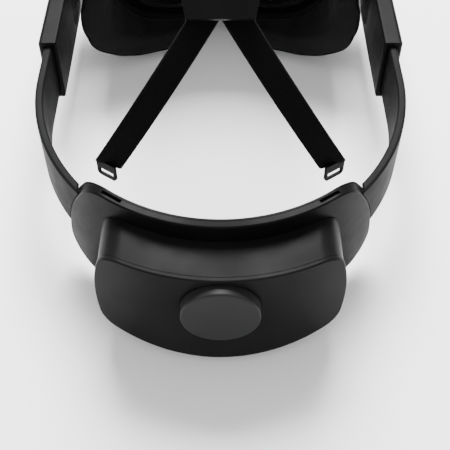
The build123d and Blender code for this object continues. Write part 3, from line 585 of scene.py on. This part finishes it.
def strip_mesh(name, frames, wide, thick):
    """A woven strip with u along it and v across it, in metres."""
    ring = section_outline(wide, thick)
    bm = bmesh.new()
    layer = bm.loops.layers.uv.new("Strip")
    rows, along = [], [0.0]
    for (a, *_), (b, *_) in zip(frames, frames[1:]):
        along.append(along[-1] + (b - a).length)
    for point, _, across, up in frames:
        rows.append([bm.verts.new(point + across * x + up * y) for x, y in ring])
    count = len(ring)
    for k, (row, following) in enumerate(zip(rows, rows[1:])):
        for j in range(count):
            n = (j + 1) % count
            face = bm.faces.new((row[j], row[n], following[n], following[j]))
            corners = ((along[k], ring[j][0]), (along[k], ring[n][0]), (along[k + 1], ring[n][0]),
                       (along[k + 1], ring[j][0]))
            for loop, (u, v) in zip(face.loops, corners):
                loop[layer].uv = (u, v)
    for row, u in ((rows[0], 0.0), (rows[-1], along[-1])):
        face = bm.faces.new(row)
        for loop, (x, _) in zip(face.loops, ring):
            loop[layer].uv = (u, x)
    bmesh.ops.recalc_face_normals(bm, faces=bm.faces)
    mesh = bpy.data.meshes.new(name)
    bm.to_mesh(mesh)
    bm.free()
    shade(mesh)
    return mesh


def trim_leg(mesh, side):
    """Cuts a leg off at its lower end and at the middle, and closes both cuts."""
    bm = bmesh.new()
    bm.from_mesh(mesh)
    end = (side * LEG_CUT[0], 0, LEG_CUT[1]), (side * sin(LEG_CUT_TILT), 0, -cos(LEG_CUT_TILT))
    middle = (side * LEG_GAP / 2, 0, 0), (-side, 0, 0)
    for place, outward in (end, middle):
        geometry = bm.verts[:] + bm.edges[:] + bm.faces[:]
        cut = bmesh.ops.bisect_plane(bm, geom=geometry, plane_co=place, plane_no=outward, clear_outer=True)
        fail_if([] if cut["geom_cut"] else [mesh.name], "leg end")
        bmesh.ops.holes_fill(bm, edges=[e for e in bm.edges if e.is_boundary])
    bm.to_mesh(mesh)
    bm.free()


def add_capsule(bm, a, b, radius, sides=6):
    """One stitch: a short rod with its ends drawn in."""
    along = (b - a).normalized()
    across = along.orthogonal().normalized()
    up = along.cross(across)
    turns = [2 * pi * k / sides for k in range(sides)]
    rings = []
    for t, r in ((0.0, 0.25), (0.12, 0.8), (0.3, 1.0), (0.7, 1.0), (0.88, 0.8), (1.0, 0.25)):
        centre = a.lerp(b, t)
        rings.append([bm.verts.new(centre + (across * cos(turn) + up * sin(turn)) * r * radius)
                      for turn in turns])
    for row, following in zip(rings, rings[1:]):
        for k in range(sides):
            n = (k + 1) % sides
            bm.faces.new((row[k], row[n], following[n], following[k]))
    bm.faces.new(list(reversed(rings[0])))
    bm.faces.new(rings[-1])


def stitches_mesh(name, runs, start=0.1, end=0.86):
    """Rows of stitches along lists of points, each from start to end of its share of the row."""
    bm = bmesh.new()
    length, radius = sizes().stitch, sizes().thread / 2
    for points in runs:
        for a, b in zip(points, points[1:]):
            count = max(1, round((b - a).length / length))
            for k in range(count):
                add_capsule(bm, a.lerp(b, (k + start) / count), a.lerp(b, (k + end) / count), radius)
    mesh = bpy.data.meshes.new(name)
    bm.to_mesh(mesh)
    bm.free()
    shade(mesh)
    return mesh


def box_stitch(frames, steps, face):
    """Runs of a sewn box with a cross, on one face (1 or -1) of a wide strap."""
    first, last = steps
    wide, height = sizes().crown_wide * SEWN_WIDE, face * sizes().strap_thick / 2 * SEWN_OUT

    def at(index, side):
        point, _, across, up = frames[index]
        return point + across * side * wide / 2 + up * height

    corners = [at(first, -1), at(first, 1), at(last, 1), at(last, -1), at(first, -1)]
    return [corners, [corners[0], corners[2]], [corners[1], corners[3]]]


def apply_modifiers(piece):
    """Keeps the shape that a piece's modifiers give it."""
    evaluated = piece.evaluated_get(bpy.context.evaluated_depsgraph_get())
    mesh = bpy.data.meshes.new_from_object(evaluated)
    piece.modifiers.clear()
    piece.data = mesh


def cushion_from(node, name):
    """A remeshed copy of a soft CAD solid, a little smaller than it."""
    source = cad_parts[node]
    piece = bpy.data.objects.new(name, source.data.copy())
    bpy.context.scene.collection.objects.link(piece)
    piece.data.materials.clear()
    weld = piece.modifiers.new("weld", "WELD")
    weld.merge_threshold = 0.01 * MM
    remesh = piece.modifiers.new("remesh", "REMESH")
    remesh.mode = "VOXEL"
    remesh.voxel_size = sizes().voxel
    relax = piece.modifiers.new("relax", "SMOOTH")
    relax.factor = 0.5
    relax.iterations = RELAX_ROUNDS
    inward = piece.modifiers.new("inward", "DISPLACE")
    inward.mid_level = 0.0
    inward.strength = -SHRINK
    apply_modifiers(piece)
    return piece


def puff(piece, frames=20):
    """Inflates a closed form as cloth, and keeps each point within the limit of where it was."""
    start = [v.co.copy() for v in piece.data.vertices]
    cloth = piece.modifiers.new("cloth", "CLOTH")
    cloth.settings.use_pressure = True
    cloth.settings.uniform_pressure_force = PUFF_PRESSURE
    cloth.settings.effector_weights.gravity = 0.0
    cloth.settings.tension_stiffness = COVER_STRETCH
    cloth.settings.compression_stiffness = COVER_STRETCH
    cloth.settings.bending_stiffness = COVER_BEND
    cloth.point_cache.frame_start = 1
    cloth.point_cache.frame_end = frames
    for number in range(1, frames + 1):
        bpy.context.scene.frame_set(number)
    apply_modifiers(piece)
    bpy.context.scene.frame_set(1)
    for vertex, before in zip(piece.data.vertices, start):
        move = vertex.co - before
        if move.length > PUFF_LIMIT:
            vertex.co = before + move.normalized() * PUFF_LIMIT


def smooth_subdivide(piece, levels=1):
    """Splits and rounds a piece's faces."""
    subdivide = piece.modifiers.new("subdivide", "SUBSURF")
    subdivide.levels = levels
    subdivide.render_levels = levels
    apply_modifiers(piece)
    shade(piece.data)


# ---------------------------------------------------------------- operators
class HEADSET_OT_shells(bpy.types.Operator):
    """Finish the moulded shells, covers, bands and small plastic parts"""
    bl_idname = "headset.shells"
    bl_label = "Finish shells"

    def execute(self, context):
        c = colours()
        finishes = (
            (moulded("shell_black", c.shell, 0.36),
             ("cradle_outer_shell", "cradle_inner_shell", "visor_housing", "temple_arm_left",
              "temple_arm_right", "lens_panel", "strap_anchor", "yoke_plate")),
            (moulded("pod_black", c.pod, 0.36, grain_gain=0.8), ("pod_housing", "pod_back_cover")),
            (moulded("dial_black", c.dial, 0.4, lift=1.3, ior=1.16), ("dial_knob",)),
            (moulded("band_black", c.band, 0.5, grain_gain=1.2), ("side_band_left", "side_band_right")),
            (moulded("trim_black", c.trim, 0.55),
             ("temple_cover_left", "temple_cover_right", "tab_guides", "power_button", "volume_rocker",
              "ipd_knob", "gasket_frame", "lens_barrel_left", "lens_barrel_right", "fan_frame",
              "fan_rotor")),
            (moulded("tab_black", c.tab, 0.4, worn=0.6), ("strap_tab_left", "strap_tab_right")),
            (glossy_cover("front_cover_black", c.glass), ("front_cover",)),
        )
        paint_all(finishes)
        return {"FINISHED"}


class HEADSET_OT_inner_parts(bpy.types.Operator):
    """Finish the metal, nylon, glass and electronic parts"""
    bl_idname = "headset.inner_parts"
    bl_label = "Finish inner parts"

    def execute(self, context):
        c = colours()
        finishes = (
            (metal("steel", c.steel),
             ("ipd_rails", "visor_screws", "hinge_pins", "detent_spring", "cradle_screws", "dial_shaft",
              "dial_clip", "charge_port", "drive_tape_left", "drive_tape_right")),
            (metal("alloy", c.alloy, 0.15), ("chassis_frame", "heat_sink")),
            (moulded("nylon", c.nylon, 0.5, lift=1.12, worn=0.0),
             ("pinion", "detent_wheel", "rack_left", "rack_right", "dial_bush")),
            (circuit_board("board_green", c.board), ("main_board", "battery_board")),
            (lens_glass("lens_clear"), ("eye_lens_left", "eye_lens_right")),
            (screen_glass("screen_dark"),
             ("display_left", "display_right", "tracking_cameras", "speaker_left", "speaker_right")),
            (foil_wrap("cell_foil", c.foil), ("battery_cells",)),
        )
        paint_all(finishes)
        return {"FINISHED"}


class HEADSET_OT_straps(bpy.types.Operator):
    """Weave the rear legs, the crown strap and the front strap, and sew their ends"""
    bl_idname = "headset.straps"
    bl_label = "Weave straps"

    def execute(self, context):
        s = sizes()
        cloth = webbing("webbing_black", colours().webbing)
        thread = moulded("thread_black", colours().thread, 0.7, worn=0.0)
        for side, name in ((1, "left"), (-1, "right")):
            mesh = strip_mesh("leg_" + name, self.leg_frames(side), s.leg_wide, s.strap_thick)
            trim_leg(mesh, side)
            new_piece("strap_leg_%s_webbing" % name, mesh, cloth, "top_strap",
                      ("strap_leg_" + name,))
        crown = self.strap_frames(CROWN_BENDS, CROWN_BEND_R)
        new_piece("crown_strap_webbing", strip_mesh("crown", crown, s.crown_wide, s.strap_thick), cloth,
                  "top_strap", ("crown_strap",))
        top_runs = box_stitch(crown, CROWN_SEWN, 1) + box_stitch(crown, CROWN_SEWN, -1)
        new_piece("top_strap_stitches", stitches_mesh("top_stitches", top_runs), thread, "top_strap")

        front = self.strap_frames(FRONT_BENDS, FRONT_BEND_R)
        new_piece("front_strap_webbing", strip_mesh("front", front, s.crown_wide, s.strap_thick), cloth,
                  "visor", ("front_strap",))
        front_runs = box_stitch(front, FRONT_SEWN, 1) + box_stitch(front, FRONT_SEWN, -1)
        new_piece("front_strap_stitches", stitches_mesh("front_stitches", front_runs), thread, "visor")
        return {"FINISHED"}

    def leg_frames(self, side):
        """The left leg's middle line with a short tail below its start, mirrored for the right one."""
        arc = arc_through(*LEG_POINTS, LEG_STEPS)
        end = arc[0] + (arc[0] - arc[1]).normalized() * sizes().leg_wide
        path = [end.lerp(arc[0], k / LEG_TAIL_STEPS) for k in range(LEG_TAIL_STEPS)] + arc
        path = [Vector((side * p.x, p.y, p.z)) for p in path]
        start, middle = path[LEG_TAIL_STEPS], path[len(path) // 2]
        normal = (middle - start).cross(path[-1] - start).normalized()
        return strip_frames(path, normal)

    def strap_frames(self, bends, radius):
        """A wide strap's middle line, level across."""
        return strip_frames(rounded_path(bends, radius, STEP), Vector((1, 0, 0)))


class HEADSET_OT_cushions(bpy.types.Operator):
    """Puff the foam pad of the cradle and the foam ring of the visor, and pipe their edges"""
    bl_idname = "headset.cushions"
    bl_label = "Puff cushions"

    def execute(self, context):
        cover = knitted("knit_black", colours().knit)
        cushions = []
        for node, name, body, fill in (("occipital_pad", "occipital_cushion", "rear_cradle", 0.8),
                                       ("gasket_foam", "face_cushion", "face_gasket", 0.7)):
            piece = cushion_from(node, name)
            puff(piece)
            smooth_subdivide(piece)
            fail_if([] if piece.data.polygons else [name], "cushion")
            piece.data.materials.append(cover)
            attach(piece, body)
            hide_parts(node)
            cushions.append(piece)
        piping = webbing("piping_black", colours().webbing)
        seams = (("occipital_piping", "rear_cradle", self.pad_seam()),
                 ("face_piping", "face_gasket", self.gasket_seam()))
        for cushion, (name, body, seam) in zip(cushions, seams):
            path = self.laid_on(cushion, seam)
            mesh = strip_mesh(name, strip_frames(path, Vector((0, 1, 0))), sizes().piping, sizes().piping)
            new_piece(name, mesh, piping, body)
        return {"FINISHED"}

    def laid_on(self, cushion, points):
        """The points moved onto a cushion's surface, a quarter sunk, and eased into an even line."""
        bpy.context.view_layer.update()
        path = []
        for point in points:
            found, place, normal, _ = cushion.closest_point_on_mesh(point)
            fail_if([] if found else [cushion.name], "piping")
            path.append(place + normal * sizes().piping / 4)
        for _ in range(SEAM_ROUNDS):
            path[1:-1] = [(a + b * 2 + c) / 4 for a, b, c in zip(path, path[1:], path[2:])]
        return path

    def pad_seam(self):
        """Round the edge of the cradle's pad, halfway through its thickness."""
        loop = rounded_loop(*PAD_LOOP)
        half_x, half_y, centre_y = PAD_CURVE
        flat = finer([Vector((x, 0, z)) for x, z in loop + loop[:1]], STEP)
        return [Vector((p.x, centre_y + half_y * sqrt(1 - (p.x / half_x) ** 2), p.z)) for p in flat]

    def gasket_seam(self):
        """Round the outer edge of the face side, from one side of the nose to the other."""
        loop = rounded_loop(*GASKET_LOOP)
        ends = [(side * NOSE_HALF, loop[0][1]) for side in (1, -1)]
        radius, centre_y = GASKET_CURVE
        flat = finer([Vector((x, 0, z)) for x, z in ends[:1] + loop + ends[1:]], STEP)
        return [Vector((p.x, centre_y - sqrt(radius ** 2 - p.x ** 2), p.z)) for p in flat]


class HEADSET_OT_studio(bpy.types.Operator):
    """Set the pale floor, the soft lights and the camera"""
    bl_idname = "headset.studio"
    bl_label = "Set studio"

    def execute(self, context):
        scene = context.scene
        floor = self.floor()
        lights = [self.light(*row) for row in LIGHTS]
        scene.world = bpy.data.worlds.new("studio")
        scene.world.use_nodes = True
        self.dome(scene.world.node_tree)
        lens = bpy.data.cameras.new("camera")
        lens.lens = CAMERA_LENS
        lens.clip_start = CAMERA_NEAR
        lens.shift_x = CAMERA_SHIFT
        camera = bpy.data.objects.new("camera", lens)
        scene.collection.objects.link(camera)
        camera.location = CAMERA_PLACE
        aim = Vector(CAMERA_AIM) - camera.location
        camera.rotation_euler = aim.to_track_quat("-Z", "Y").to_euler()
        scene.camera = camera
        return {"FINISHED"}

    def dome(self, tree):
        """A soft white dome, bright overhead and dim near the horizon."""
        background = tree.nodes["Background"]
        background.inputs["Color"].default_value = (1.0, 1.0, 1.0, 1.0)
        parts = tree.nodes.new("ShaderNodeSeparateXYZ")
        tree.links.new(tree.nodes.new("ShaderNodeTexCoord").outputs["Generated"], parts.inputs[0])
        tree.links.new(remap(tree, parts.outputs["Z"], 0.25, 0.85, 0.5, 1.1), background.inputs["Strength"])

    def floor(self):
        """A large floor that curls up into a wall in front of the object."""
        f = Finish("floor_pale", colours().floor)
        grain = effect(f.tree, "moulded_grain", Place=f.place, Cells=60.0)
        tone = rgba(colours().floor)
        f.set(Base_Color=mix_colour(f.tree, remap(f.tree, grain["Cloud"], *MOST), tone, rgba(tone, 0.99)),
              Roughness=remap(f.tree, grain["Smudge"], *MOST, 0.75, 0.85))
        bm = bmesh.new()
        profile = [(FLOOR_HALF, 0.0), (-FLOOR_WALL, 0.0)]
        for k in range(1, FLOOR_STEPS + 1):
            angle = pi / 2 * k / FLOOR_STEPS
            profile.append((-FLOOR_WALL - FLOOR_CURVE * sin(angle), FLOOR_CURVE - FLOOR_CURVE * cos(angle)))
        profile.append((-FLOOR_WALL - FLOOR_CURVE, FLOOR_TOP))
        rows = [[bm.verts.new((x, y, z)) for y, z in profile] for x in (-FLOOR_HALF, FLOOR_HALF)]
        for k in range(len(profile) - 1):
            bm.faces.new((rows[0][k], rows[1][k], rows[1][k + 1], rows[0][k + 1]))
        bmesh.ops.recalc_face_normals(bm, faces=bm.faces)
        mesh = bpy.data.meshes.new("floor")
        bm.to_mesh(mesh)
        bm.free()
        shade(mesh)
        floor = bpy.data.objects.new("floor", mesh)
        bpy.context.scene.collection.objects.link(floor)
        floor.location.z = -FLOOR_DROP
        floor.data.materials.append(f.material)
        return floor

    def light(self, name, place, size, power):
        """A square soft light that faces the object."""
        lamp = bpy.data.lights.new(name, "AREA")
        lamp.shape = "SQUARE"
        lamp.size = size
        lamp.energy = power
        light = bpy.data.objects.new(name, lamp)
        bpy.context.scene.collection.objects.link(light)
        light.location = place
        aim = Vector(LIGHT_AIM) - light.location
        light.rotation_euler = aim.to_track_quat("-Z", "Y").to_euler()
        return light


# ---------------------------------------------------------------- panel and registration
OPERATORS = (HEADSET_OT_shells, HEADSET_OT_inner_parts, HEADSET_OT_straps, HEADSET_OT_cushions,
             HEADSET_OT_studio)


class HEADSET_PT_panel(bpy.types.Panel):
    """The sizes, the colours and the steps, in order"""
    bl_idname = "HEADSET_PT_panel"
    bl_label = "Headset"
    bl_space_type = "VIEW_3D"
    bl_region_type = "UI"
    bl_category = "Headset"

    def draw(self, context):
        layout = self.layout
        for group in (context.scene.headset_sizes, context.scene.headset_colours):
            column = layout.column()
            for name in group.bl_rna.properties.keys():
                if name not in ("rna_type", "name"):
                    column.prop(group, name)
        for operator in OPERATORS:
            layout.operator(operator.bl_idname)


CLASSES = (HeadsetSizes, HeadsetColours) + OPERATORS + (HEADSET_PT_panel,)


def register():
    for item in CLASSES:
        bpy.utils.register_class(item)
    bpy.types.Scene.headset_sizes = bpy.props.PointerProperty(type=HeadsetSizes)
    bpy.types.Scene.headset_colours = bpy.props.PointerProperty(type=HeadsetColours)


def unregister():
    del bpy.types.Scene.headset_colours
    del bpy.types.Scene.headset_sizes
    for item in reversed(CLASSES):
        bpy.utils.unregister_class(item)


def main():
    register()
    for operator in (bpy.ops.headset.shells, bpy.ops.headset.inner_parts, bpy.ops.headset.straps,
                     bpy.ops.headset.cushions, bpy.ops.headset.studio):
        operator()


if __name__ == "__main__":
    main()
